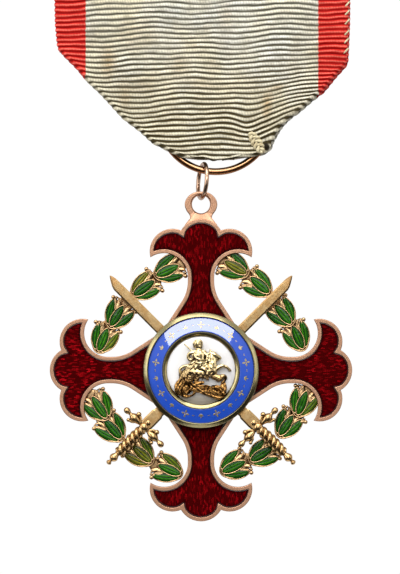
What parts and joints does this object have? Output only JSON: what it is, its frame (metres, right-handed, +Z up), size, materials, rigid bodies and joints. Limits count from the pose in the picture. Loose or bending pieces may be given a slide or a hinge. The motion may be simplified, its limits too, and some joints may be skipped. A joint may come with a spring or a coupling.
{
  "type": "order insignia",
  "caption": "Enamelled cross with trefoil arms, laurel wreath, crossed swords and a round horseman medallion, hanging from rings on a folded, pinned ribbon.",
  "frame": {"origin": "middle of the brooch needle, behind the top of the ribbon", "axes": "+Z up as it hangs, -Y towards the viewer of its front, +X to that viewer's right"},
  "size_m": [0.042, 0.0084, 0.0952],
  "materials": {
    "ribbon_silk": "ribbed silk",
    "brooch_steel": "satin",
    "rose_gold": "worn polish",
    "yellow_gold": "polished",
    "red_enamel": "gloss",
    "green_enamel": "gloss",
    "blue_enamel": "gloss",
    "white_enamel": "gloss"
  },
  "bodies": {
    "suspension": {"ribbon": "ribbon_silk", "brooch_pin": "brooch_steel", "ribbon_ring": "rose_gold"},
    "link": {"jump_ring": "rose_gold"},
    "badge": {"cross_frame": "rose_gold", "arm_enamel_top": "red_enamel", "arm_enamel_right": "red_enamel", "arm_enamel_bottom": "red_enamel", "arm_enamel_left": "red_enamel", "wreath_upper_left": "yellow_gold", "wreath_upper_right": "yellow_gold", "wreath_lower_left": "yellow_gold", "wreath_lower_right": "yellow_gold", "leaf_enamel_upper_left": "green_enamel", "leaf_enamel_upper_right": "green_enamel", "leaf_enamel_lower_left": "green_enamel", "leaf_enamel_lower_right": "green_enamel", "sword_left": "yellow_gold", "sword_right": "yellow_gold", "medallion_case": "yellow_gold", "medallion_blue_ring": "blue_enamel", "medallion_white_disc": "white_enamel", "horseman_relief": "yellow_gold", "back_plate": "rose_gold"}
  },
  "joints": [
    {"name": "link_swing", "type": "hinge", "parent": "suspension", "child": "link", "pos_m": [0.0004, -0.00405, -0.04386], "axis": [1, 0, 0], "range_deg": [-30, 30]},
    {"name": "badge_swing", "type": "hinge", "parent": "link", "child": "badge", "pos_m": [0.00006, -0.00405, -0.04775], "axis": [0, 1, 0], "range_deg": [-60, 60]}
  ]
}
